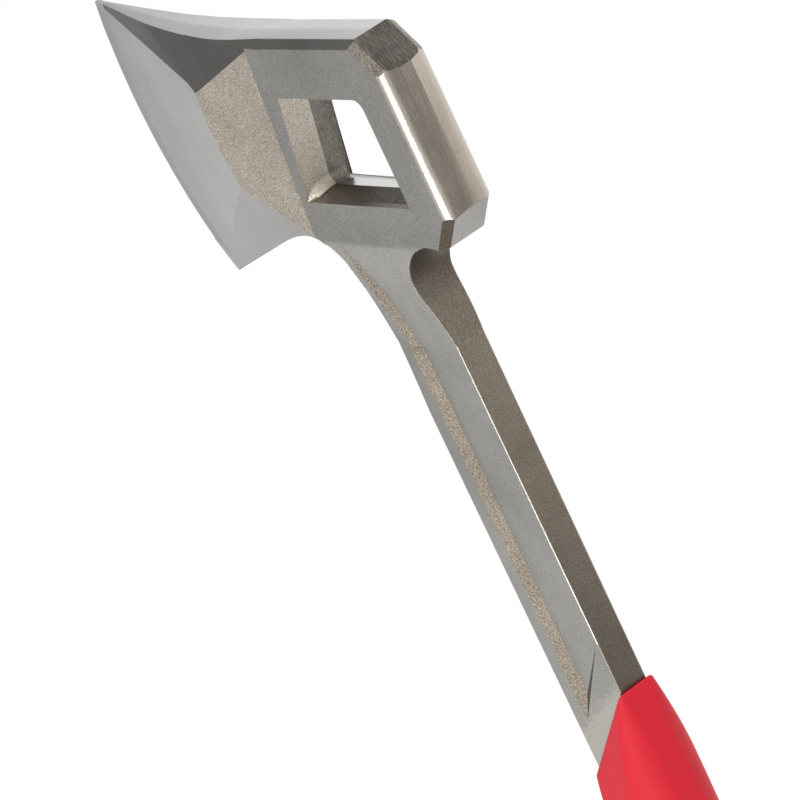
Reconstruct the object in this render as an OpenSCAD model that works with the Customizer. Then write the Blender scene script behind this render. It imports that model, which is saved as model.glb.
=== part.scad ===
// One-piece forged rescue bar: axe blade, hammer poll and carrying window at the head,
// a fullered shank, a moulded grip round a waisted tang, and a forked pry claw at the rear.
// The bar lies on its side. +X runs to the head, +Y to the cutting edge, +Z up off the cheek.
// Inside the modules x = 0 is the lower corner of the poll, y = 0 the back of the shank,
// z = 0 the middle plane of the forging. place() moves all of it to the centre of its box.

/* [Overall] */
// Overall length, toe of the blade to claw tips
total_length = 760; // [740:5:900]

/* [Head] */
// Thickness of the head between its two cheeks
head_thick = 22.8; // [20:0.1:26]
// Length of the hammer poll face
poll_len = 59.5; // [50:0.5:70]
// How far the poll face stands behind the back of the shank
poll_back = 45.3; // [35:0.1:60]
// How far the middle land of the poll is crowned
poll_crown = 1.1; // [0.2:0.1:2]
// Size of the corner chamfers of the poll
poll_corner = 14; // [8:0.5:18]
// Radius of the cutting edge
edge_r = 175; // [165:1:185]
// Half thickness of the cutting edge
edge_half = 0.15; // [0.05:0.05:0.5]
// Rise of the blade bevel for each millimetre behind the edge
bevel_rise = 0.135; // [0.12:0.005:0.15]
// Width of the honed band along the edge
hone_w = 2.6; // [1:0.1:5]

/* [Window] */
// Length of the window along the shank
window_len = 46; // [40:0.5:48]
// Wall between the window and the poll face
window_back = 23.1; // [18:0.1:30]
// How far each window wall leans in at the middle plane
window_draft = 2; // [0.5:0.1:3]

/* [Shank] */
// Width of the shank
shank_w = 45.5; // [40:0.5:50]
// Thickness of the shank
shank_t = 14; // [12:0.5:16]
// Depth of the side recess at its front wall
fuller_depth = 2.2; // [1:0.1:3]

/* [Grip] */
// Distance from the lower poll corner to the front border of the grip
grip_start = 218.5; // [210:0.5:240]
// Length of the grip sleeve along its back
grip_len = 277; // [260:1:300]
// Greatest thickness of the grip
grip_t = 34; // [30:0.5:38]
// Greatest width of the grip
grip_w = 51; // [50:0.5:56]
// Width of the tang inside the grip
tang_w = 30; // [24:0.5:32]
// Thickness of the tang inside the grip
tang_t = 12; // [10:0.5:13]
// Number of screws through core and tang
screw_count = 4; // [2:1:5]

/* [Claw] */
// Radius of the claw's upward sweep
claw_r = 300; // [260:5:360]
// Sweep angle of the claw
claw_angle = 21; // [15:0.5:24]
// Thickness of the claw at its tips
claw_tip_t = 2.6; // [2:0.1:5]
// Depth of the V between the tines
claw_notch = 96; // [60:1:100]
// Width of the V at the tips
claw_mouth = 22; // [14:0.5:24]

/* [Hidden] */

// head
th = head_thick / 2;                 // half thickness at the cheeks
ts = shank_t / 2;                    // half thickness of the shank
top_x = 73.6;                        // flat top edge of the head
top_bend_y = 60;                     // where the top edge starts to sweep up to the toe
top_bend_r = 450;
top_line_y = 144;                    // where the sweep runs out into a straight line
top_slope = (top_line_y - top_bend_y) / top_bend_r;
toe_y = 171.9;
toe_x = top_x + pow(top_line_y - top_bend_y, 2) / (2 * top_bend_r) + top_slope * (toe_y - top_line_y);
heel = [-38.1, 161.6];
edge_c = arc_centre([toe_x, toe_y], heel, edge_r);   // centre of the cutting edge's arc
edge_max_y = edge_c.y + edge_r;
poll_face_half = 8.4;                // half width of the poll face
poll_land_half = 2.5;                // half width of its flat middle land
poll_bevel = 2.8;                    // chamfer between poll face and cheek
top_face_half = 7.8;                 // half width of the flat top edge
top_bevel = 2.4;                     // chamfer between top edge and cheek

// facets of the near cheek, mirrored to the other cheek
wedge_top = [70, 46.9, th];          // upper end of the line where the wedge facet starts
wedge_low = [-11.3, 60.7, th];       // lower end of that line
bevel_low = [6.8, 106.8, 8.9];       // where wedge, blade bevel and heel facet meet
dark_end = [76.5, 107.5, 6.8];       // upper facet, at the top edge
dark_low = [50.2, 105.5, 8.6];       // upper facet, where it meets the bevel
bevel_lean = [-2, -0.9];             // sideways lean of the bevel for each millimetre of height

// window
win_low = 4.1;
win_high = win_low + window_len;
win_back_y = -poll_back + window_back;
win_front_high = 37.7;
win_front_low = 53.1;
win_land = 8.3;                      // above this height the window walls stand straight
win_corner = 4.5;

// neck and shank
neck_top = -14.2;                    // where the head starts to thin down to the shank
neck_end = -58;
fuller_back = 30;                    // foot of the recess wall
fuller_front = 36;                   // top of the recess wall
fuller_start = -62.4;
fuller_end_back = [-206.7, 10.6];
fuller_end_front = [-235.6, 35.9];
fuller_end_run = 4.0;                // how far the recess's end wall leans
edge_break = 0.8;
mid_y = shank_w / 2;

// grip
border_slope = 0.94;                 // the front border runs back across the cheeks
grip_lip = 1.6;                      // height of the grip over the steel at its border
flare_len = 32;                      // length over which it swells to full thickness
grip_r = 13;                         // radius of its long edges
grip_front = -grip_start;
grip_rear = grip_front - grip_len;
tang_front = -285;
tang_rear = grip_rear + 18;
core_front = tang_front - 3;
core_rear = tang_rear + 3;
core_w = 41;
core_t = 26.6;
core_r = 8;
gap = 0.15;                          // assembly clearance between grip parts
screw_r = 2.5;
screw_head_r = 4.25;
screw_head_h = 3;
nut_af = 8;
nut_h = 4;
screw_first = tang_front - 25;
screw_last = tang_rear + 22;
collar_len = 15;
collar_w = 52;
collar_t = 33;
collar_r = 12;
collar_front = grip_rear - gap;
collar_rear = collar_front - collar_len;
pin_x = (collar_front + collar_rear) / 2;
pin_r = 2.45;
pin_bore = 2.5;

// claw
tip_x = toe_x - total_length;
tip_half = claw_tip_t / 2;
claw_start = tip_x + (claw_r + tip_half) * sin(claw_angle);
claw_steps = 18;
claw_root_r = 2.5;

// the whole part's box
mid_x = (toe_x + tip_x) / 2;
box_mid_y = (edge_max_y - poll_back - poll_crown) / 2;
big = 1200;

// ---- helpers ----

function unit2(v) = v / norm(v);
function arc_centre(a, b, r) =
    let (m = (a + b) / 2, d = unit2(b - a), h = sqrt(r * r - pow(norm(b - a) / 2, 2)))
    m + h * [-d.y, d.x];
function bezier(p, n) = [for (i = [1 : n]) let (t = i / n, s = 1 - t)
    s * s * s * p[0] + 3 * s * s * t * p[1] + 3 * s * t * t * p[2] + t * t * t * p[3]];
function smooth(t) = let (c = min(1, max(0, t))) c * c * (3 - 2 * c);

module place() {
    translate([-mid_x, -box_mid_y, grip_t / 2]) children();
}

// everything on the side of a plane that its normal points to
module beyond(p, n) {
    translate(p)
        rotate([0, acos(n.z / norm(n)), atan2(n.y, n.x)])
            translate([-big / 2, -big / 2, 0]) cube([big, big, big / 2]);
}

// everything above the plane through three points
module above(a, b, c) {
    n = cross(b - a, c - a);
    beyond(a, n.z > 0 ? n : -n);
}

module both_sides() {
    children();
    mirror([0, 0, 1]) children();
}

module rounded_bar(w, t, r, from_x, to_x) {
    translate([to_x, mid_y, 0]) rotate([90, 0, 90]) linear_extrude(from_x - to_x)
        polygon([for (c = [[1, 1], [-1, 1], [-1, -1], [1, -1]], i = [0 : 8])
            let (a = atan2(c.y, c.x) - 45 + i * 90 / 8)
            [c.x * (w / 2 - r) + r * cos(a), c.y * (t / 2 - r) + r * sin(a)]]);
}

// ---- forging ----

function top_edge() = [for (i = [0 : 10])
    let (y = top_bend_y + i * (top_line_y - top_bend_y) / 10)
    [top_x + pow(y - top_bend_y, 2) / (2 * top_bend_r), y]];

// from the heel round the beard and down to the front of the shank
beard_dir = unit2([20.3, -65.6]);
beard_from = heel + 67 * beard_dir;
function beard() = bezier([beard_from, beard_from + 55 * beard_dir,
                           [-15.8, 39.4], [-92, shank_w]], 24);

// the hook notch under the poll, then the run out to the back of the shank
function hook_notch() = concat(
    bezier([[-62, 0], [-46, 0.6], [-38, 5.6], [-33.5, 5.6]], 8),
    bezier([[-33.5, 5.6], [-24.5, 5.6], [-12.9, -9], [-12.9, -21]], 12));

module head_outline() {
    polygon(concat(
        [[0, -poll_back - poll_crown],
         [poll_len, -poll_back - poll_crown],
         [top_x, -poll_back - poll_crown + top_x - poll_len]],
        top_edge(),
        [[toe_x, toe_y], [toe_x, edge_max_y + 5], [heel.x, edge_max_y + 5], heel, beard_from],
        beard(),
        [[-92, 0], [-62, 0]],
        hook_notch(),
        [[-poll_corner, -poll_back - poll_crown + poll_corner]]));
}

// lens that holds both faces of the blade: a honed band, then a cone that leans to the heel
module blade_lens() {
    hone_z = edge_half + 0.5;
    cone_r = edge_r - hone_w;
    cone_h = th + 1 - hone_z;
    translate([edge_c.x, edge_c.y, 0]) both_sides() {
        rotate_extrude($fn = 180)
            polygon([[0, -1], [edge_r, -1], [edge_r, edge_half], [cone_r, hone_z],
                     [cone_r - 1, hone_z + 0.1], [0, hone_z + 0.1]]);
        multmatrix([[1, 0, bevel_lean.x, -bevel_lean.x * hone_z],
                    [0, 1, bevel_lean.y, -bevel_lean.y * hone_z],
                    [0, 0, 1, 0]])
            translate([0, 0, hone_z])
                cylinder(h = cone_h, r1 = cone_r, r2 = cone_r - cone_h / bevel_rise, $fn = 180);
    }
}

module blade_waste() {
    difference() {
        translate([-60, 72, -th - 0.5]) cube([160, 130, head_thick + 1]);
        blade_lens();
    }
}

module window_half() {
    wx = win_low;
    w_front = [[win_high, win_front_high], [win_low, win_front_low]];
    d = unit2(w_front[1] - w_front[0]);
    n = [d.y, -d.x] * (d.x < 0 ? 1 : -1);
    lean = window_draft / win_land;
    intersection() {
        translate([0, 0, -0.01]) linear_extrude(th + 1) rounded_window();
        difference() {
            translate([-20, -60, -0.01]) cube([100, 150, th + 2]);
            intersection() {
                union() {
                    beyond([wx, 0, win_land], [-1, 0, -lean]);
                    beyond([win_high, 0, win_land], [1, 0, -lean]);
                    beyond([0, win_back_y, win_land], [0, -1, -lean]);
                    beyond([w_front[0].x, w_front[0].y, win_land], [n.x, n.y, -lean]);
                }
                translate([-20, -60, -1]) cube([100, 150, win_land + 1]);
            }
        }
    }
}

module rounded_window() {
    polygon(concat(
        [[win_low, win_back_y]],
        [for (i = [0 : 6]) let (a = -90 + i * 15)
            [win_high - win_corner + win_corner * cos(a), win_back_y + win_corner + win_corner * sin(a)]],
        [[win_high, win_front_high], [win_low, win_front_low]]));
}

// facets of one cheek of the head
module head_facets() {
    above(wedge_top, wedge_low, bevel_low);
    intersection() {
        above(wedge_top, dark_low, dark_end);
        translate([0, 40, 0]) cube([120, 160, 40]);
    }
    intersection() {
        above(wedge_low, bevel_low, [heel.x, heel.y, edge_half + 0.1]);
        translate([-60, 55, 0]) cube([120, 160, 40]);
    }
    // poll: leaning face beside the middle land, then the chamfer to the cheek
    above([0, -poll_back - poll_crown, poll_land_half], [poll_len, -poll_back - poll_crown, poll_land_half],
          [0, -poll_back, poll_face_half]);
    above([0, -poll_back, poll_face_half], [poll_len, -poll_back, poll_face_half],
          [0, -poll_back + poll_bevel, th]);
    // top edge: a chamfer that narrows away where the upper facet meets the edge
    turn_y = 36;
    run_out = 60;
    step = 0.04;
    top_start = [top_x, turn_y, top_face_half];
    top_inner = [top_x - top_bevel, turn_y, th];
    intersection() {
        above(top_start, top_start + [0, 10, 0], top_inner);
        translate([50, -80, 0]) cube([60, 80 + turn_y, 30]);
    }
    intersection() {
        above(top_start + [step, 0, 0], top_inner + [step, 0, 0], [75.2, 97, 7.2]);
        translate([52, turn_y, 0]) cube([60, run_out, 32]);
    }
    // upper and lower poll corners
    intersection() {
        union() {
            corner_bevel([poll_len, -poll_back - poll_crown], 1);
            corner_bevel([0, -poll_back - poll_crown], -1);
        }
        translate([-20, -60, 0]) cube([110, 45, 40]);
    }
}

// chamfer between a poll corner and the cheek; dir is 1 for the upper corner, -1 for the lower
module corner_bevel(p, dir) {
    a = [p.x, p.y, poll_face_half];
    step = poll_bevel * sqrt(0.5);
    above(a, a + [dir, 1, 0], a + [-dir * step, step, th - poll_face_half]);
}

// what is cut away from one cheek between head and grip
module neck_waste() {
    fall = (th - ts) / (neck_top - neck_end);
    intersection() {
        beyond([neck_top, 0, th], [-fall, 0, 1]);
        translate([neck_end, -60, 0]) cube([neck_top - neck_end, 300, 40]);
    }
    translate([-big, -60, ts]) cube([big + neck_end, 300, 40]);
}

module fuller_waste() {
    web = fuller_depth / fuller_back;
    floor_z = ts - fuller_depth;
    wall_a = [fuller_start, fuller_front, ts];
    wall_b = [fuller_start, fuller_back, floor_z];
    wall_c = [-17.3, 42.7, 10.8];
    low = [-38, 34.5, 7.2];
    intersection() {
        translate([fuller_start - 3, -60, 0]) cube([neck_top - fuller_start + 3, 300, 40]);
        above([neck_top, 0, th], [neck_top, 40, th], low);
        above(low, [-36, 5, 9.3], [-62, 0, ts]);
        beyond([0, 0, ts], [0, web, 1]);
        above(wall_a, wall_b, wall_c);
    }
    intersection() {
        translate([-big, -20, 0]) cube([big + fuller_start + 0.2, 120, 20]);
        beyond([0, 0, ts], [0, web, 1]);
        above(wall_a, wall_b, wall_a - [10, 0, 0]);
        fuller_end();
    }
}

// steep end wall of the recess, slanted like the grip's border
module fuller_end() {
    a = [fuller_end_back.x, fuller_end_back.y, ts];
    b = [fuller_end_front.x, fuller_end_front.y, ts];
    d = unit2(fuller_end_front - fuller_end_back);
    c = a + [d.y * fuller_end_run, -d.x * fuller_end_run, -fuller_depth];
    n = cross(b - a, c - a);
    beyond(a, n.x > 0 ? n : -n);
}

module head_and_neck() {
    difference() {
        translate([0, 0, -th]) linear_extrude(head_thick) head_outline();
        both_sides() head_facets();
        both_sides() neck_waste();
        blade_waste();
        both_sides() window_half();
        both_sides() intersection() {
            fuller_waste();
            translate([-92.5, -60, 0]) cube([200, 300, 40]);
        }
    }
}

// long edges of the bar are broken by a small chamfer
module bar_section(w, t) {
    b = edge_break;
    polygon([[b, -t / 2], [w - b, -t / 2], [w, -t / 2 + b], [w, t / 2 - b],
             [w - b, t / 2], [b, t / 2], [0, t / 2 - b], [0, -t / 2 + b]]);
}

module bar(w, t, y0, from_x, to_x) {
    translate([to_x, y0, 0]) rotate([90, 0, 90]) linear_extrude(from_x - to_x) bar_section(w, t);
}

module shank() {
    difference() {
        translate([tang_front, 0, -ts]) cube([-92 - tang_front, shank_w, shank_t]);
        both_sides() fuller_waste();
    }
}

module tang() {
    difference() {
        bar(tang_w, tang_t, mid_y - tang_w / 2, tang_front, tang_rear);
        for (x = screw_places()) translate([x, mid_y, -20]) cylinder(h = 40, r = 3, $fn = 48);
    }
}

function screw_places() = [for (i = [0 : screw_count - 1])
    screw_first + i * (screw_last - screw_first) / (screw_count - 1)];

function claw_side(side) = [for (i = [0 : claw_steps])
    let (t = i / claw_steps, a = t * claw_angle,
         h = ts + (tip_half - ts) * smooth((t - 0.1) / 0.9))
    [claw_start - claw_r * sin(a) + side * h * sin(a), claw_r * (1 - cos(a)) + side * h * cos(a)]];

function reversed(v) = [for (i = [len(v) - 1 : -1 : 0]) v[i]];

module claw() {
    notch_x = tip_x + claw_notch;
    difference() {
        translate([0, shank_w, 0]) rotate([90, 0, 0]) linear_extrude(shank_w)
            polygon(concat([[collar_front + 3, ts]], claw_side(1),
                           reversed(claw_side(-1)), [[collar_front + 3, -ts]]));
        translate([0, 0, -20]) linear_extrude(90) polygon([
            [tip_x - 5, mid_y - claw_mouth / 2 - 0.5], [notch_x, mid_y - claw_root_r],
            [notch_x, mid_y + claw_root_r], [tip_x - 5, mid_y + claw_mouth / 2 + 0.5]]);
        translate([notch_x, mid_y, -20]) cylinder(h = 90, r = claw_root_r, $fn = 48);
        // outer flanks of the tines close in towards their tips
        for (s = [-1, 1]) beyond([tip_x, mid_y + s * (shank_w / 2 - 4), 0], [-0.06, s, 0]);
    }
}

module forged_bar() color("#99958d") place() {
    difference() {
        union() {
            head_and_neck();
            shank();
            tang();
            bar(shank_w, shank_t, 0, tang_rear, collar_front + 3);
            claw();
        }
        translate([pin_x, mid_y, -20]) cylinder(h = 40, r = pin_bore, $fn = 48);
    }
}

// ---- grip ----

// half thickness of the grip at a distance behind its front border
function grip_half_t(u) =
    let (lip = ts + grip_lip)
    lip + (grip_t / 2 - lip) * sin(90 * pow(min(1, u / flare_len), 0.8));

flare_stations = [0, 3, 7, 12, 18, 25, flare_len];

// what is cut away over the flare, which rises off the steel along the slanted border
module grip_flare() {
    turn = atan(border_slope);
    translate([grip_front, 0, 0]) rotate([0, 0, turn]) translate([0, 150, 0]) rotate([90, 0, 0])
        linear_extrude(300) polygon(concat(
            [[20, 60], [20, grip_half_t(0)]],
            [for (u = flare_stations) [-u * cos(turn), grip_half_t(u)]],
            [[-flare_len * cos(turn) - 1, grip_t / 2 + 0.05], [-flare_len * cos(turn) - 1, 60]]));
}

module grip_body() {
    difference() {
        rounded_bar(grip_w, grip_t, grip_r, grip_front + 10, grip_rear);
        beyond([grip_front, 0, 0], [1, border_slope, 0]);
        both_sides() grip_flare();
    }
}

module grip_sleeve() color("#d02a38") place() {
    difference() {
        grip_body();
        bar(shank_w + 2 * gap, shank_t + 2 * gap, -gap, -150, core_front - 1);
        rounded_bar(core_w + 2 * gap, core_t + 2 * gap, core_r, core_front + gap, core_rear - gap);
        bar(shank_w + 2 * gap, shank_t + 2 * gap, -gap, core_rear + 1, grip_rear - 5);
    }
}

module core_blank() {
    difference() {
        rounded_bar(core_w, core_t, core_r, core_front, core_rear);
        bar(tang_w + 2 * gap, tang_t + 2 * gap, mid_y - tang_w / 2 - gap, core_front + 1, core_rear - 1);
        for (x = screw_places()) translate([x, mid_y, 0]) {
            translate([0, 0, -20]) cylinder(h = 40, r = screw_r + gap, $fn = 48);
            translate([0, 0, core_t / 2 - screw_head_h - gap]) cylinder(h = 20, r = screw_head_r + gap, $fn = 48);
            translate([0, 0, -core_t / 2 - 1]) rotate([0, 0, 30])
                cylinder(h = nut_h + 1 + gap, r = (nut_af / 2 + gap) / cos(30), $fn = 6);
        }
    }
}

module grip_core_left() color("#2e2f31") place() {
    intersection() {
        core_blank();
        translate([-big, -100, gap / 2]) cube([big, 300, 40]);
    }
}

module grip_core_right() color("#34363a") place() {
    intersection() {
        core_blank();
        translate([-big, -100, -40 - gap / 2]) cube([big, 300, 40]);
    }
}

module core_screws() color("#b9bcc0") place() {
    for (x = screw_places()) translate([x, mid_y, 0]) difference() {
        union() {
            translate([0, 0, -core_t / 2 + 0.5]) cylinder(h = core_t - screw_head_h - 0.5, r = screw_r, $fn = 48);
            translate([0, 0, core_t / 2 - screw_head_h]) cylinder(h = screw_head_h - 0.2, r = screw_head_r, $fn = 48);
        }
        translate([0, 0, core_t / 2 - 2]) cylinder(h = 3, r = 2.3, $fn = 6);
    }
}

module core_nuts() color("#a6a9ad") place() {
    for (x = screw_places()) translate([x, mid_y, -core_t / 2 + 0.1]) difference() {
        rotate([0, 0, 30]) cylinder(h = nut_h - 0.1, r = nut_af / 2 / cos(30), $fn = 6);
        translate([0, 0, -1]) cylinder(h = nut_h + 2, r = screw_r + 0.03, $fn = 48);
    }
}

module rear_collar() color("#26272a") place() {
    difference() {
        rounded_bar(collar_w, collar_t, collar_r, collar_front, collar_rear);
        bar(shank_w + 2 * gap, shank_t + 2 * gap, -gap, collar_front + 1, collar_rear - 1);
        translate([pin_x, mid_y, -20]) cylinder(h = 40, r = pin_bore, $fn = 48);
    }
}

module collar_pin() color("#c4c6c9") place() {
    pin_len = collar_t - 0.6;
    translate([pin_x, mid_y, -pin_len / 2]) cylinder(h = pin_len, r = pin_r, $fn = 48);
}

forged_bar();
grip_core_left();
grip_core_right();
core_screws();
core_nuts();
grip_sleeve();
rear_collar();
collar_pin();
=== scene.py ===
import math

import bmesh
import bpy
from mathutils import Matrix, Vector


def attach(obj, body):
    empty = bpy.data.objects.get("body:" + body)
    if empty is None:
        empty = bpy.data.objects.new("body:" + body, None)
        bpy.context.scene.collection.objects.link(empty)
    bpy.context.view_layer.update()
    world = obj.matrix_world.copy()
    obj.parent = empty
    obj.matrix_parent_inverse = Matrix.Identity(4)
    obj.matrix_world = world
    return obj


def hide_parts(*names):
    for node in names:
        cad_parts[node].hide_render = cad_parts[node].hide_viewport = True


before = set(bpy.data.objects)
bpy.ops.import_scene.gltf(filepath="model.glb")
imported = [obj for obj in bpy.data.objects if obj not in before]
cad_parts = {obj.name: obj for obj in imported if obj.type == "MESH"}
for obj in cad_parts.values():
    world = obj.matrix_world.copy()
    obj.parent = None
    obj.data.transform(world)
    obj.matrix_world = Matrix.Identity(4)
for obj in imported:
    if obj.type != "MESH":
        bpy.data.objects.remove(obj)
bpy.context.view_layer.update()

# Design place of the row frame's origin, in millimetres: x from the lower poll corner, y from the
# back of the shank, z from the middle plane of the forging.
SHIFT = Vector((293.352, -66.235, 17.0))


def at(x, y, z):
    """A point in design millimetres, as metres in the row frame."""
    return (Vector((x, y, z)) + SHIFT) * 0.001


def design(p):
    """A point of the row frame, in design millimetres."""
    return p * 1000.0 - SHIFT


# ---------------------------------------------------------------- shader helpers

class Nodes:
    """Short ways to add shader nodes to one tree."""

    def __init__(self, tree):
        self.tree = tree

    def add(self, kind):
        return self.tree.nodes.new(kind)

    def link(self, a, b):
        self.tree.links.new(a, b)

    def noise(self, vector, scale, detail=3.0, rough=0.5):
        """Noise from 0 to 1; scale is in lumps per metre."""
        n = self.add("ShaderNodeTexNoise")
        n.inputs["Scale"].default_value = scale
        n.inputs["Detail"].default_value = detail
        n.inputs["Roughness"].default_value = rough
        self.link(vector, n.inputs["Vector"])
        return n.outputs["Fac"]

    def turned(self, vector, turn):
        """Coordinates turned by angles about X, Y and Z."""
        m = self.add("ShaderNodeMapping")
        m.inputs["Rotation"].default_value = turn
        self.link(vector, m.inputs["Vector"])
        return m.outputs["Vector"]

    def stretched(self, vector, scale, turn=None):
        """Coordinates turned first, then stretched along the turned axes."""
        m = self.add("ShaderNodeMapping")
        m.inputs["Scale"].default_value = scale
        self.link(self.turned(vector, turn) if turn else vector, m.inputs["Vector"])
        return m.outputs["Vector"]

    def spread(self, fac, low, high, start=0.3, end=0.7):
        """Maps start to low and end to high, and holds both outside."""
        m = self.add("ShaderNodeMapRange")
        m.inputs["From Min"].default_value = start
        m.inputs["From Max"].default_value = end
        m.inputs["To Min"].default_value = low
        m.inputs["To Max"].default_value = high
        self.link(fac, m.inputs["Value"])
        return m.outputs["Result"]

    def mix(self, fac, a, b, blend="MIX"):
        """Mixes two colours; each input is a socket, a number or a colour."""
        m = self.add("ShaderNodeMix")
        m.data_type = "RGBA"
        m.blend_type = blend
        for value, socket in ((fac, m.inputs[0]), (a, m.inputs[6]), (b, m.inputs[7])):
            if hasattr(value, "is_linked"):
                self.link(value, socket)
            elif isinstance(value, (int, float)):
                socket.default_value = value
            else:
                socket.default_value = (*value, 1.0)
        return m.outputs[2]

    def sums(self, a, b, weight):
        """a plus b times weight."""
        m = self.add("ShaderNodeMath")
        m.operation = "MULTIPLY_ADD"
        self.link(b, m.inputs[0])
        m.inputs[1].default_value = weight
        self.link(a, m.inputs[2])
        return m.outputs[0]

    def ramp(self, fac, stops):
        """A value that follows (place, value) stops; fac runs from 0 at the first to 1 at the last."""
        node = self.add("ShaderNodeValToRGB")
        elements = node.color_ramp.elements
        while len(elements) < len(stops):
            elements.new(0.5)
        first, last = stops[0][0], stops[-1][0]
        for element, (place, value) in zip(elements, stops):
            element.position = (place - first) / (last - first)
            element.color = (value, value, value, 1.0)
        self.link(fac, node.inputs[0])
        return node.outputs[0]

    def along(self, vector, stops, axis="X"):
        """A value that follows (design millimetres, value) stops along one axis."""
        split = self.add("ShaderNodeSeparateXYZ")
        self.link(vector, split.inputs[0])
        shift = SHIFT["XYZ".index(axis)]
        first, last = ((place + shift) / 1000 for place, _ in (stops[0], stops[-1]))
        return self.ramp(self.spread(split.outputs[axis], 0.0, 1.0, first, last), stops)

    def bump(self, height, distance, strength=1.0):
        b = self.add("ShaderNodeBump")
        b.inputs["Distance"].default_value = distance
        b.inputs["Strength"].default_value = strength
        self.link(height, b.inputs["Height"])
        return b.outputs["Normal"]


def principled(name):
    """A new material, its node helper, its shader and its object coordinates."""
    mat = bpy.data.materials.new(name)
    mat.use_nodes = True
    n = Nodes(mat.node_tree)
    bsdf = mat.node_tree.nodes["Principled BSDF"]
    co = n.add("ShaderNodeTexCoord").outputs["Object"]
    return mat, n, bsdf, co


# ---------------------------------------------------------------- steel

def ground_steel(name, light, dark, rough, streak=0.35, axis=(60, 1100, 1100), painted_shading=None, grain=0.5,
                 relief=0.00008, tone_axis="X"):
    """Belt-ground steel: fine streaks, a slow tone drift, a little grain in the surface; painted light
    and shade can be multiplied in by stops along one axis.
    """
    mat, n, bsdf, co = principled(name)
    lines = n.noise(n.stretched(co, axis), 1.0, 4.0, 0.6)
    drift = n.noise(co, 22.0, 2.0)
    specks = n.noise(co, 1500.0, 2.0, 0.7)
    tone = n.sums(n.sums(drift, lines, streak), specks, grain)
    middle = 0.5 * (1 + streak + grain)
    reach = 0.17 * (1 + grain)
    colour = n.mix(n.spread(tone, 0.0, 1.0, middle - reach, middle + reach), dark, light)
    if painted_shading:
        colour = n.mix(1.0, colour, n.along(co, painted_shading, tone_axis), "MULTIPLY")
    n.link(colour, bsdf.inputs["Base Color"])
    bsdf.inputs["Metallic"].default_value = 1.0
    n.link(n.spread(n.sums(lines, specks, 0.5), rough - 0.05, rough + 0.07, 0.5, 1.0),
           bsdf.inputs["Roughness"])
    n.link(n.bump(n.sums(lines, specks, 1.2), relief, 0.5), bsdf.inputs["Normal"])
    return mat


BLOTCH_TURN = -0.544          # the blotchy end is bordered by a line at this angle to the bar
BLOTCH_TONES = [(-275, 1.0), (-267, 1.0), (-253, 0.0)]


def cheek_steel():
    """Ground cheek, with painted shading: darker on the head, paler on neck and shank; beige and blotchy
    by the grip.
    """
    mat = ground_steel("steel_ground", (0.60, 0.585, 0.545), (0.30, 0.29, 0.265), 0.40, 0.3,
                       (700, 260, 1100), painted_shading=CHEEK_PAINTED_SHADING, grain=2.0)
    n = Nodes(mat.node_tree)
    bsdf = mat.node_tree.nodes["Principled BSDF"]
    co = n.add("ShaderNodeTexCoord").outputs["Object"]
    base = bsdf.inputs["Base Color"].links[0].from_socket
    blotch = n.noise(co, 520.0, 4.0, 0.7)
    by_grip = n.along(n.turned(co, (0, 0, BLOTCH_TURN)), BLOTCH_TONES)
    spots = n.spread(n.sums(by_grip, blotch, 1.6), 0.0, 1.0, 1.2, 1.45)
    n.link(n.mix(spots, base, (0.62, 0.585, 0.54)), bsdf.inputs["Base Color"])
    return mat


def forged_skin(name, light, dark, rough, grit=1500.0, depth=0.00025, painted_shading=None):
    """Shot-blasted forging skin: speckled pits with lighter crests; painted shade can be multiplied in by
    stops along the bar.
    """
    mat, n, bsdf, co = principled(name)
    pits = n.noise(co, grit, 3.0, 0.65)
    fine = n.noise(co, grit * 2.2, 2.0, 0.6)
    cloud = n.noise(co, 45.0, 3.0, 0.6)
    height = n.sums(pits, fine, 0.4)
    tone = n.sums(height, cloud, 0.2)
    colour = n.mix(n.spread(tone, 0.0, 1.0, 0.62, 0.98), dark, light)
    if painted_shading:
        colour = n.mix(1.0, colour, n.along(co, painted_shading), "MULTIPLY")
    n.link(colour, bsdf.inputs["Base Color"])
    bsdf.inputs["Metallic"].default_value = 1.0
    n.link(n.spread(fine, rough - 0.06, rough + 0.1), bsdf.inputs["Roughness"])
    n.link(n.bump(height, depth, 0.8), bsdf.inputs["Normal"])
    return mat


def scratched_steel(name, light, dark, rough, turn, stretch, share, painted_side_shade=None):
    """Smooth face with fine scratches along one direction; the last argument paints shade across the bar.
    """
    mat, n, bsdf, co = principled(name)
    marks = n.noise(n.stretched(co, stretch, turn), 1.0, 2.0, 0.5)
    sharp = n.spread(marks, 0.0, share, 0.52, 0.70)
    drift = n.noise(co, 40.0, 3.0)
    base = n.mix(n.spread(drift, 0.0, 1.0), dark, light)
    colour = n.mix(sharp, base, tuple(min(1.0, c * 1.7) for c in light))
    if painted_side_shade:
        colour = n.mix(1.0, colour, n.along(co, painted_side_shade, "Z"), "MULTIPLY")
    n.link(colour, bsdf.inputs["Base Color"])
    bsdf.inputs["Metallic"].default_value = 1.0
    n.link(n.spread(marks, rough - 0.04, rough + 0.08), bsdf.inputs["Roughness"])
    n.link(n.bump(marks, 0.00004, 0.4), bsdf.inputs["Normal"])
    return mat


# Painted light and shade of the faces, as (design millimetres, factor) stops that multiply the steel's
# colour.
# They run along the bar unless a comment says otherwise.
# Painted shading on the cheek: the head darker, the neck paler.
CHEEK_PAINTED_SHADING = [(-240, 0.96), (-130, 0.92), (-70, 0.90), (-40, 1.08), (-22, 1.14), (-14.5, 1.08),
               (-12.5, 0.78), (30, 0.84), (76, 0.76)]
# Painted shade on the shank's back: darkest in the notch by the head, darker towards the grip.
BACK_PAINTED_SHADE = [(-260, 0.53), (-200, 0.57), (-130, 0.82), (-60, 0.97), (-42, 0.97), (-29, 0.42), (-14, 0.2)]
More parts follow.
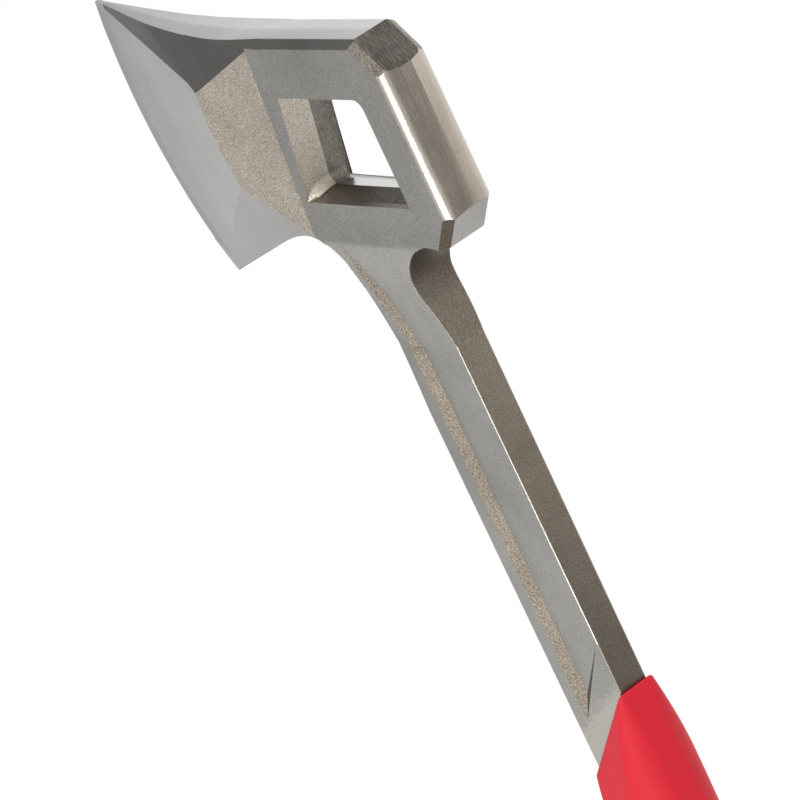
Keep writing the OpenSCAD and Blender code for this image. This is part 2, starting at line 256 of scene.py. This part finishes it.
# Painted shading on the upper facet: darker by the skin, lighter towards the edge.
DARK_FACET_PAINTED_SHADING = [(90, 0.72), (125, 0.95), (172, 1.45)]                         # towards the edge
# Painted shade on the edge bevel, darker towards the edge.
BEVEL_PAINTED_SHADE = [(105, 1.0), (140, 0.99), (156, 0.88), (178, 0.80)]           # towards the edge
# Painted shade on the top: its near half darker than its far half.
TOP_PAINTED_SHADE = [(-12, 1.0), (-1.2, 1.02), (0.4, 0.80), (12, 0.72)]             # from cheek to cheek


def steel_set():
    """Materials of the forging's faces, by zone name."""
    return {
        "ground": cheek_steel(),
        "skin": forged_skin("steel_skin", (0.88, 0.79, 0.67), (0.22, 0.19, 0.155), 0.48,
                            1500.0, 0.0003),
        # painted shade: a darker copy of the forging skin for tilted faces by the poll
        "shade": forged_skin("steel_shade", (0.50, 0.44, 0.37), (0.15, 0.13, 0.105), 0.48,
                             1300.0, 0.0002),
        "heel": ground_steel("steel_heel", (0.50, 0.495, 0.478), (0.425, 0.42, 0.405), 0.28, 0.6,
                             (30, 260, 260), grain=0.12, relief=0.00003),
        "strip": forged_skin("steel_strip", (0.62, 0.54, 0.445), (0.17, 0.145, 0.115), 0.5,
                             1500.0, 0.0003),
        # painted light: a paler copy of the skin for the near half of the window's front wall
        "wall": forged_skin("steel_wall_painted_light", (0.97, 0.90, 0.80), (0.50, 0.44, 0.37), 0.5, 1800.0),
        # painted shade: a near-black copy of the skin for the fuller's end wall (a painted shadow) and
        # some tilted faces by the poll
        "painted_shade_brown": forged_skin("steel_brown_painted_shade", (0.18, 0.15, 0.115), (0.07, 0.057, 0.043), 0.5),
        # its stops paint shade towards the edge
        "bevel": ground_steel("steel_bevel", (0.545, 0.545, 0.535), (0.465, 0.465, 0.455), 0.26, 0.6,
                              (30, 260, 260), painted_shading=BEVEL_PAINTED_SHADE, tone_axis="Y", grain=0.12,
                              relief=0.00003),
        "hone": ground_steel("steel_hone", (0.52, 0.515, 0.505), (0.44, 0.435, 0.425), 0.22, 0.15),
        # painted shade: a near-black copy of the ground steel for the upper facet and the bevel's part by
        # the toe
        "dark": ground_steel("steel_dark_painted_shade", (0.135, 0.133, 0.122), (0.085, 0.083, 0.076), 0.34, 0.2,
                             (1100, 300, 1100), painted_shading=DARK_FACET_PAINTED_SHADING, tone_axis="Y", grain=0.6),
        # painted shade: a dark copy of the ground steel for the slope between top and cheek
        "ledge": ground_steel("steel_ledge_painted_shade", (0.215, 0.21, 0.195), (0.15, 0.147, 0.135), 0.34, 0.4,
                              (90, 1100, 1100), grain=0.4),
        # its last argument paints shade on the top's near half
        "top": scratched_steel("steel_top", (0.61, 0.595, 0.585), (0.52, 0.505, 0.495), 0.30, None,
                               (25, 1500, 1500), 0.25, painted_side_shade=TOP_PAINTED_SHADE),
        # painted shade: a dark copy of the top's scratched steel for the poll's upper corner face
        "corner": scratched_steel("steel_corner_painted_shade", (0.27, 0.25, 0.222), (0.17, 0.157, 0.136), 0.28,
                                  (0, 0, -0.70), (180, 2400, 2400), 0.28),
        "poll": ground_steel("steel_poll", (0.60, 0.535, 0.455), (0.38, 0.333, 0.276), 0.34, 0.5,
                             (120, 1700, 1700), grain=0.8),
        "chamfer": ground_steel("steel_chamfer", (0.50, 0.47, 0.42), (0.42, 0.385, 0.335), 0.30, 0.3,
                                (60, 900, 900), grain=0.2),
        # painted light: a paler copy of the skin in the near half of the window's fillet
        "fillet": forged_skin("steel_fillet_painted_light", (0.92, 0.86, 0.77), (0.50, 0.45, 0.38), 0.34,
                              1300.0, 0.0001),
        # painted shade: a dark copy of the ground steel for the poll's lower corner face and the
        # chamfer's part beside it
        "lower": ground_steel("steel_lower_painted_shade", (0.27, 0.258, 0.245), (0.19, 0.18, 0.17), 0.3, 0.25),
        # its stops paint shade along the back
        "back": forged_skin("steel_back", (0.56, 0.485, 0.395), (0.25, 0.21, 0.165), 0.42,
                            1900.0, 0.00008, BACK_PAINTED_SHADE),
        # painted shade: a dark copy of the skin for the shaded halves of the window's walls
        "painted_shade_pit": forged_skin("steel_pit_painted_shade", (0.25, 0.228, 0.197), (0.09, 0.08, 0.067), 0.40,
                           1200.0, 0.0001),
    }


# ---------------------------------------------------------------- zones of the forging

# Places on the forging, in design millimetres.
WINDOW_X = (3, 51.5)            # just outside the window, along the bar
WINDOW_Y = (-23, 54)            # just outside the window, across the bar
HEAD_END = -14.3                # behind this the neck begins
BLADE_START = 70                # beyond this every face is the blade's
SHANK_START = -61               # behind this the shank is straight
NOTCH_END = -33                 # between this and the head the rim follows the notch
POLL_TOP = 58                   # beyond this the poll's upper corner is ground off
UPPER_FACET = Vector((0.067, 0.0686, 0.995))      # normal of the dark upper facet
SKIN_FACET = Vector((0.0086, 0.0508, 0.9987))     # normal of the facet left in forging skin


def near(n, facet, degrees):
    """Whether a normal lies within some degrees of a facet's."""
    return n.angle(facet) < math.radians(degrees)


def in_window(c):
    return WINDOW_X[0] < c.x < WINDOW_X[1] and WINDOW_Y[0] < c.y < WINDOW_Y[1]


def window_zone(c, n):
    """Zone of a wall of the window, which has a ridge round its middle."""
    # Each wall's halves get copies of the skin by how light falls on them: painted light on the front
    # wall's and the fillet's near halves, painted shade on their far halves and on the lower wall's near
    # half.
    if n.y < -0.5:
        return "wall" if c.z > 0 else "painted_shade_pit"
    if n.x > 0.5:
        return "painted_shade_pit" if c.z > 0 else "heel"
    if n.x > 0.1 and n.y < -0.1:
        return "fillet" if c.z > 0 else "painted_shade_pit"
    return "ground"


CAMERA_PLACE = Vector((476.7, -1446.0, 739.5))
SWEEP_FOOT = Vector((50.2, 105.5, 8.6))
SWEEP_TOE = Vector((86.6, 171.9, 0.4))


def sweep_plane():
    """Normal of the plane that parts the dark upper facet from the edge bevel (upper cheek).

    It is a fixed plane through foot, toe and the camera's place, from where the border looks straight."""
    n = (SWEEP_TOE - SWEEP_FOOT).cross(CAMERA_PLACE - SWEEP_FOOT).normalized()
    return n if n.x > 0 else -n


def beyond_sweep(c):
    return c.y > 104 and (c - SWEEP_FOOT).dot(sweep_plane()) > 0


def poll_zone(c, n):
    """Zone of a face of the poll, or None for a face that isn't the poll's own."""
    if c.y >= -20 or n.z >= 0.97:
        return None
    # Tilted skin faces, the chamfer's part at the lower corner and both corner faces get darker copies of
    # their steel: painted shade.
    if n.z > 0.3 and abs(n.x) > 0.2:
        return "shade" if n.x > 0 else "painted_shade_brown"
    if n.z > 0.3:
        return "chamfer" if c.x > 0 else "lower"
    if n.y < -0.95:
        return "poll"
    if n.x > 0.5 and n.y < -0.4:
        return "corner"
    if n.x < -0.5 and n.y < -0.4:
        return "lower"
    return None


def bevel_zone(c, n):
    """Zone of a face that slopes down to the cutting edge."""
    # Beyond the sweep the bevel gets the upper facet's near-black copy: painted shade.
    if beyond_sweep(c):
        return "dark"
    if n.x < -0.07:
        return "heel"
    return "hone" if c.z < 0.75 else "bevel"


def blade_zone(c, n):
    """Zone of a face of the head beside the poll."""
    if n.x > 0.9:
        return "top"
    # The slope between top and cheek and the upper facet get dark copies of the ground steel: painted
    # shade.
    if n.x > 0.3 and n.z > 0.2:
        return "ledge"
    if near(n, UPPER_FACET, 1.6):
        return "dark"
    if near(n, SKIN_FACET, 1.2) and c.y > 46:
        return "skin"
    if c.y > 60 and n.z > 0.6 and (n.y > 0.07 or (n.x < -0.02 and c.x < 12)):
        return bevel_zone(c, n)
    if c.y > 100 and c.z < 1.6 and n.z > 0.9:
        return "hone"
    return "ground"


def neck_zone(c, n):
    """Zone of a face between head and grip."""
    # The fuller's end wall gets a near-black copy of the skin: a painted shadow.
    if -250 < c.x < -200 and n.x > 0.2 and n.z > 0.4:
        return "painted_shade_brown"
    if 28 < c.y < 46 and -0.6 < n.y < -0.2 and n.z > 0.6:
        return "strip"
    if n.y < -0.5 and n.z < 0.6:
        return "back"
    if c.y < 8 and n.z < 0.5 and c.x > -60:
        return "back"
    return "ground"


def forging_zone(face):
    """Zone of a face; below the middle plane it is judged as its mirror image."""
    c = design(face.calc_center_median())
    n = face.normal.copy()
    if in_window(c) and abs(n.z) < 0.7:
        return window_zone(c, n)
    if c.z < 0:
        n.z = -n.z
    c.z = abs(c.z)
    if c.x > HEAD_END or c.y > BLADE_START:
        return poll_zone(c, n) or blade_zone(c, n)
    return neck_zone(c, n)


# ---------------------------------------------------------------- mesh of the forging

WELD = 0.00009                  # metres under which two CAD vertices are one
FLAT = math.radians(0.25)       # faces that meet flatter than this are one


def bare_copy(node):
    """The CAD node's faces as one welded mesh with its flat faces joined."""
    bm = bmesh.new()
    bm.from_mesh(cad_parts[node].data)
    bmesh.ops.remove_doubles(bm, verts=bm.verts, dist=WELD)
    bmesh.ops.dissolve_limit(bm, angle_limit=FLAT, verts=bm.verts, edges=bm.edges)
    bmesh.ops.recalc_face_normals(bm, faces=bm.faces)
    return bm


def finish_mesh(bm, name, mats):
    """A piece that rides on the one body."""
    mesh = bpy.data.meshes.new(name)
    bm.to_mesh(mesh)
    bm.free()
    for m in mats:
        mesh.materials.append(m)
    obj = bpy.data.objects.new(name, mesh)
    bpy.context.scene.collection.objects.link(obj)
    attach(obj, "root")
    return obj


def edge_round(obj, width, segments, limit_method):
    """Rounds the edges that the limit method picks."""
    b = obj.modifiers.new("edge_round", "BEVEL")
    b.width = width
    b.segments = segments
    b.limit_method = limit_method
    b.miter_outer = "MITER_ARC"
    return b


WIDEST_ROUND = 0.0013                # the poll's edges
MM_ROUND = 0.001 / WIDEST_ROUND      # one millimetre as a share of it
WINDOW_FILLET = 0.0055               # the window's lower front corner


def cut(bm, faces, point, normal):
    """Splits faces along a plane given in design millimetres."""
    edges = {e for f in faces for e in f.edges}
    verts = {v for f in faces for v in f.verts}
    geom = [*faces, *edges, *verts]
    bmesh.ops.bisect_plane(bm, geom=geom, plane_co=at(*point), plane_no=normal, dist=1e-6)


def part_the_bevel(bm):
    """New edges where the dark upper facet runs out to the toe, on both cheeks."""
    for side in (1, -1):
        faces = [f for f in bm.faces
                 if design(f.calc_center_median()).y > 100 and f.normal.z * side > 0.5]
        n = sweep_plane()
        foot = SWEEP_FOOT.copy()
        n.z *= side
        foot.z *= side
        cut(bm, faces, foot, n)


def middle(edge):
    """An edge's middle in design millimetres."""
    return design((edge.verts[0].co + edge.verts[1].co) / 2)


def edge_rise(edge):
    """Share of an edge's length that runs from cheek to cheek."""
    d = edge.verts[1].co - edge.verts[0].co
    return abs(d.z) / max(d.length, 1e-9)


def in_fillet(edge):
    """Whether an edge is the window's lower front corner, from cheek to cheek."""
    c = middle(edge)
    upright = len(edge.link_faces) == 2 and edge_rise(edge) > 0.5 and edge.calc_length() > 0.004
    return upright and in_window(c) and c.y > 40 and c.x < 14


def window_fillet(bm):
    """Round root in the window's lower front corner."""
    edges = [e for e in bm.edges if in_fillet(e)]
    bmesh.ops.bevel(bm, geom=edges, offset=WINDOW_FILLET, segments=7, profile=0.5, affect="EDGES",
                    clamp_overlap=False)


def forging():
    """The forged bar: the CAD faces with rounded rims and a material for each zone."""
    mats = steel_set()
    names = list(mats)
    bm = bare_copy("forged_bar")
    window_fillet(bm)
    part_the_bevel(bm)
    weight = bm.edges.layers.float.new("bevel_weight_edge")
    for face in bm.faces:
        face.material_index = names.index(forging_zone(face))
        face.smooth = True
    for edge in bm.edges:
        edge[weight] = edge_weight(edge)
        edge.smooth = not (edge[weight] == 0.0 and crisp(edge))
    obj = finish_mesh(bm, "forged_bar_skin", [mats[k] for k in names])
    edge_round(obj, WIDEST_ROUND, 3, "WEIGHT").use_clamp_overlap = False
    even = obj.modifiers.new("even_shading", "WEIGHTED_NORMAL")
    even.weight = 100
    even.keep_sharp = True
    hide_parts("forged_bar")


def edge_weight(edge):
    """How far an edge is rounded, as a share of the widest."""
    if len(edge.link_faces) != 2 or edge.calc_length() < 0.0006:
        return 0.0
    if math.degrees(edge.calc_face_angle(0.0)) < 20:
        return 0.0
    c = middle(edge)
    top_rim = c.x > 66 and c.y > 30
    cutting_edge = c.y > 60 and abs(c.z) < 1.0
    fuller = c.x < -14 and 8 < c.y < 40
    if top_rim or cutting_edge or fuller:
        return 0.0
    if in_window(c):
        return 0.5 * MM_ROUND if c.z < -10 else 0.0
    if c.x < SHANK_START:
        return 1.2 * MM_ROUND
    if c.x < -12:
        return (0.8 if c.x > NOTCH_END else 0.3) * MM_ROUND
    if c.x > POLL_TOP and c.y < -20:
        return 0.0
    if 1 < c.x < POLL_TOP and c.y < -35 and abs(c.z) > 5:
        return 1.0
    return 0.4 * MM_ROUND


def crisp(edge):
    """A border between two broad faces that keeps its own shading on both sides."""
    if len(edge.link_faces) != 2 or edge.calc_face_angle(0.0) < math.radians(2.5):
        return False
    if edge.calc_face_angle(0.0) > math.radians(24):
        return True
    flat = all(abs(f.normal.z) > 0.8 for f in edge.link_faces)
    return min(f.calc_area() for f in edge.link_faces) > (8e-6 if flat else 160e-6)


# ---------------------------------------------------------------- grip

def rubber():
    """Red moulded rubber with a fine satin grain."""
    mat, n, bsdf, co = principled("grip_red")
    fine = n.noise(co, 1500.0, 3.0, 0.6)
    drift = n.noise(co, 30.0, 2.0)
    n.link(n.mix(n.spread(drift, 0.0, 1.0), (0.68, 0.015, 0.032), (0.74, 0.017, 0.036)),
           bsdf.inputs["Base Color"])
    n.link(n.spread(fine, 0.56, 0.68), bsdf.inputs["Roughness"])
    n.link(n.bump(fine, 0.00004, 0.5), bsdf.inputs["Normal"])
    bsdf.inputs["Specular IOR Level"].default_value = 0.28
    return mat


# Design millimetres. A section is half its width, half its thickness and its corner radius.
GRIP_FRONT, GRIP_REAR = -218.5, -495.5        # along the back of the bar
BORDER_SLOPE = 0.94                           # how far the front border falls back across the bar
MIDDLE_LINE = 22.75                           # half the width of the shank
BORDER_SECTION = (24.4, 8.9, 1.4)
FULL_SECTION = (25.5, 17.0, 12.0)
SHANK_BORE = (22.9, 7.15, 0.6)
BORDER_BORE = (22.85, 7.1, 0.6)
CORE_BORE = (20.65, 13.45, 6.0)
CORE_SPAN = (-287.7, -475.2)
CREASE = math.radians(11)                     # between a flat and a corner's arc
FRONT_LIP = [(0.0, 0.9), (0.0008, 0.35), (0.003, 0.05)]      # share of the length, inset
REAR_LIP = [(0.998, 0.3), (1.0, 1.0)]
GRIP_RINGS = 150


def corner_points(sy, sz, half_w, half_t, radius, steps=9):
    """One rounded corner whose arc meets the flats at a slight crease, with a point on each flat."""
    half = math.pi / 4 - CREASE
    wide = radius * math.sqrt(0.5) / math.sin(half)
    reach = radius * math.sqrt(0.5) + wide * math.cos(half)
    cy, cz = half_w - reach * math.sqrt(0.5), half_t - reach * math.sqrt(0.5)
    arc = []
    for i in range(steps + 1):
        a = math.pi / 4 - half + 2 * half * i / steps
        arc.append((cy + wide * math.cos(a), cz + wide * math.sin(a)))
    pts = [(half_w, half_t - radius - 0.8)] + arc + [(half_w - radius - 0.8, half_t)]
    if sy * sz < 0:
        pts.reverse()
    return [(sy * y, sz * z) for y, z in pts]


def section(half_w, half_t, radius):
    """Points (y, z) round a rounded rectangle about the bar's middle line, in design millimetres."""
    pts = []
    for sy, sz in ((1, 1), (-1, 1), (-1, -1), (1, -1)):
        pts += corner_points(sy, sz, half_w, half_t, radius)
    return [(MIDDLE_LINE + y, z) for y, z in pts]


def swell(u):
    """Share of the full size at a distance behind the border; it is full from 36 mm on."""
    return math.sin(math.pi / 2 * min(1.0, max(0.0, u) / 36.0) ** 0.9)


def waist(t):
    """Depth of the slight hand-fitting waist, zero at both ends of the grip."""
    return 1.3 * math.sin(math.pi * min(1.0, max(0.0, (t - 0.15) / 0.80))) ** 2


def groove(t):
    """Depth of the nine shallow cross grooves over the rear part of the grip."""
    first, last, count = 0.42, 0.90, 9
    if not first < t < last:
        return 0.0
    wave = math.cos((t - first) / (last - first) * 2 * math.pi * count)
    return 0.7 * max(0.0, -wave - 0.2)


def grip_ring(t, inset=0.0):
    """One outer ring of the grip, at a share of its length behind the slanted border."""
    ring = []
    length = GRIP_FRONT - GRIP_REAR
    less = inset + waist(t) + groove(t)
    for i, (y0, _) in enumerate(section(*FULL_SECTION)):
        full = swell(t * (length - BORDER_SLOPE * y0))
        half_w, half_t, radius = (a + (b - a) * full for a, b in zip(BORDER_SECTION, FULL_SECTION))
        y, z = section(half_w - less, half_t - less, radius)[i]
        x = (1 - t) * (GRIP_FRONT - BORDER_SLOPE * y) + t * GRIP_REAR
        ring.append(at(x, y, z))
    return ring


def bore_ring(x, bore, slope=0.0):
    """One ring of the hollow inside the grip."""
    return [at(x - slope * y, y, z) for y, z in section(*bore)]


def rear_share(k):
    """Place of ring k behind the front lip, as a share of the length; rings crowd towards the front."""
    start = FRONT_LIP[-1][0]
    return start + (1 - start) * (k / GRIP_RINGS) ** 1.25 * 0.994


def skin_rings(rings, name, mat):
    """A closed tube from rings that run once round its wall."""
    bm = bmesh.new()
    rows = [[bm.verts.new(p) for p in ring] for ring in rings]
    for a, b in zip(rows, rows[1:] + rows[:1]):
        for i in range(len(a)):
            j = (i + 1) % len(a)
            bm.faces.new((a[i], a[j], b[j], b[i]))
    bmesh.ops.recalc_face_normals(bm, faces=bm.faces)
    for f in bm.faces:
        f.smooth = True
    return finish_mesh(bm, name, [mat])


def grip():
    """The moulded sleeve, hollow for the shank and the wider core."""
    outer = [grip_ring(t, inset) for t, inset in FRONT_LIP]
    outer += [grip_ring(rear_share(k)) for k in range(1, GRIP_RINGS + 1)]
    outer += [grip_ring(t, inset) for t, inset in REAR_LIP]
    core_front, core_rear = CORE_SPAN
    inner = [bore_ring(GRIP_REAR, SHANK_BORE), bore_ring(core_rear, SHANK_BORE),
             bore_ring(core_rear, CORE_BORE), bore_ring(core_front, CORE_BORE),
             bore_ring(core_front, SHANK_BORE), bore_ring(GRIP_FRONT, BORDER_BORE, BORDER_SLOPE)]
    obj = skin_rings(outer + inner, "grip_sleeve_skin", rubber())
    obj.modifiers.new("corners", "EDGE_SPLIT").split_angle = math.radians(50)
    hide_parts("grip_sleeve")


def moulded(name, colour, rough):
    """Dark moulded plastic with a fine grain."""
    mat, n, bsdf, co = principled(name)
    fine = n.noise(co, 1300.0, 3.0, 0.6)
    n.link(n.mix(n.spread(fine, 0.0, 1.0), tuple(c * 0.85 for c in colour), colour),
           bsdf.inputs["Base Color"])
    n.link(n.spread(fine, rough - 0.05, rough + 0.08), bsdf.inputs["Roughness"])
    n.link(n.bump(fine, 0.00005, 0.6), bsdf.inputs["Normal"])
    return mat


def dress(node, mat, rounding=0.0):
    """A carried-over CAD node gets its material and softened edges."""
    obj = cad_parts[node]
    for s in obj.material_slots:
        s.link = "OBJECT"
        s.material = mat
    if rounding:
        b = edge_round(obj, rounding, 2, "ANGLE")
        b.angle_limit = math.radians(30)
        b.harden_normals = True


# ---------------------------------------------------------------- stage

def camera():
    """A long lens that looks down on the bar from the poll's side."""
    cam = bpy.data.objects.new("camera", bpy.data.cameras.new("camera"))
    right = Vector((-0.409, -0.5175, -0.7516)).normalized()
    back = Vector((0.319, -0.8527, 0.4136)).normalized()
    up = back.cross(right).normalized()
    right = up.cross(back)
    turn = Matrix((right, up, back)).transposed()
    cam.matrix_world = Matrix.Translation(at(*CAMERA_PLACE)) @ turn.to_4x4()
    cam.data.lens = 202.5
    cam.data.sensor_width = 36.0
    cam.data.clip_start = 0.05
    cam.data.clip_end = 60.0
    bpy.context.scene.collection.objects.link(cam)
    bpy.context.scene.camera = cam


FLOOR_DROP = 0.35               # metres from the part's lowest point down to the floor
FLOOR_RADIUS = 14.0


def floor():
    """Pale floor well below the part, seen by the camera only, so that no shadow shows."""
    bm = bmesh.new()
    bmesh.ops.create_circle(bm, cap_ends=True, radius=FLOOR_RADIUS, segments=96,
                            matrix=Matrix.Translation((0, 0, -FLOOR_DROP)))
    mesh = bpy.data.meshes.new("floor")
    bm.to_mesh(mesh)
    bm.free()
    mat = bpy.data.materials.new("floor_white")
    mat.use_nodes = True
    n = Nodes(mat.node_tree)
    out = mat.node_tree.nodes["Material Output"]
    path = n.add("ShaderNodeLightPath").outputs["Is Camera Ray"]
    glow = n.add("ShaderNodeEmission")
    glow.inputs["Color"].default_value = (1.0, 1.0, 1.0, 1.0)
    clear = n.add("ShaderNodeBsdfTransparent")
    both = n.add("ShaderNodeMixShader")
    n.link(path, both.inputs[0])
    n.link(clear.outputs[0], both.inputs[1])
    n.link(glow.outputs[0], both.inputs[2])
    n.link(both.outputs[0], out.inputs["Surface"])
    mesh.materials.append(mat)
    obj = bpy.data.objects.new("floor", mesh)
    bpy.context.scene.collection.objects.link(obj)


# Brightness of the dome by height, from -1 straight below to 1 straight above.
FRONT_SKY = [(-1.0, 1.0), (-0.68, 1.0), (-0.52, 0.34), (-0.3, 0.2), (0.0, 0.34), (0.3, 0.6), (1.0, 0.8)]
BACK_SKY = [(-1.0, 1.0), (-0.5, 1.25), (-0.36, 0.95), (-0.24, 0.22), (-0.08, 0.3), (0.08, 0.6),
            (0.16, 0.76), (0.3, 0.66), (0.42, 0.5), (0.6, 0.55), (1.0, 0.8)]


def studio():
    """A light dome: bright table below, dim band round it, pale walls, soft top."""
    world = bpy.data.worlds.new("studio")
    bpy.context.scene.world = world
    world.use_nodes = True
    n = Nodes(world.node_tree)
    background = world.node_tree.nodes["Background"]
    co = n.add("ShaderNodeTexCoord").outputs["Generated"]
    split = n.add("ShaderNodeSeparateXYZ")
    n.link(co, split.inputs[0])
    height = n.spread(split.outputs["Z"], 0.0, 1.0, -1.0, 1.0)
    behind = n.spread(split.outputs["Y"], 0.0, 1.0, -0.25, 0.25)
    sky = n.mix(behind, n.ramp(height, FRONT_SKY), n.ramp(height, BACK_SKY))
    side = n.spread(split.outputs["X"], 1.4, 0.7, -0.9, 0.9)
    scaled = n.add("ShaderNodeVectorMath")
    scaled.operation = "SCALE"
    n.link(sky, scaled.inputs[0])
    n.link(side, scaled.inputs["Scale"])
    n.link(scaled.outputs[0], background.inputs["Color"])
    background.inputs["Strength"].default_value = 1.0


def softbox(name, direction, distance, size, power, target=(0.2, 0.0, 0.02)):
    """A rectangular lamp that faces the target, in metres and watts."""
    data = bpy.data.lights.new(name, "AREA")
    data.shape = "RECTANGLE"
    data.size, data.size_y = size
    data.energy = power
    lamp = bpy.data.objects.new(name, data)
    d = Vector(direction).normalized()
    lamp.location = Vector(target) + d * distance
    lamp.rotation_mode = "QUATERNION"
    lamp.rotation_quaternion = d.to_track_quat("Z", "Y")
    bpy.context.scene.collection.objects.link(lamp)


def lights():
    """The dome, a key whose glare runs along the shank's near rim, and a glint in the window's fillet."""
    studio()
    softbox("key", (-0.32, -0.47, 0.82), 1.6, (0.60, 0.26), 10.0, target=(0.08, 0.0, 0.02))
    softbox("glint", (0.92, -0.38, 0.08), 1.6, (0.3, 0.3), 14.0)


def main():
    bpy.context.scene.view_settings.view_transform = "Standard"
    camera()
    lights()
    floor()
    forging()
    grip()
    dress("rear_collar", moulded("collar_black", (0.03, 0.03, 0.033), 0.5), 0.0008)
    dress("grip_core_left", moulded("core_nylon_left", (0.04, 0.04, 0.045), 0.5))
    dress("grip_core_right", moulded("core_nylon_right", (0.05, 0.05, 0.055), 0.5))
    plain = ground_steel("fastener_steel", (0.6, 0.6, 0.61), (0.5, 0.5, 0.51), 0.3)
    for node in ("core_screws", "core_nuts", "collar_pin"):
        dress(node, plain)


main()
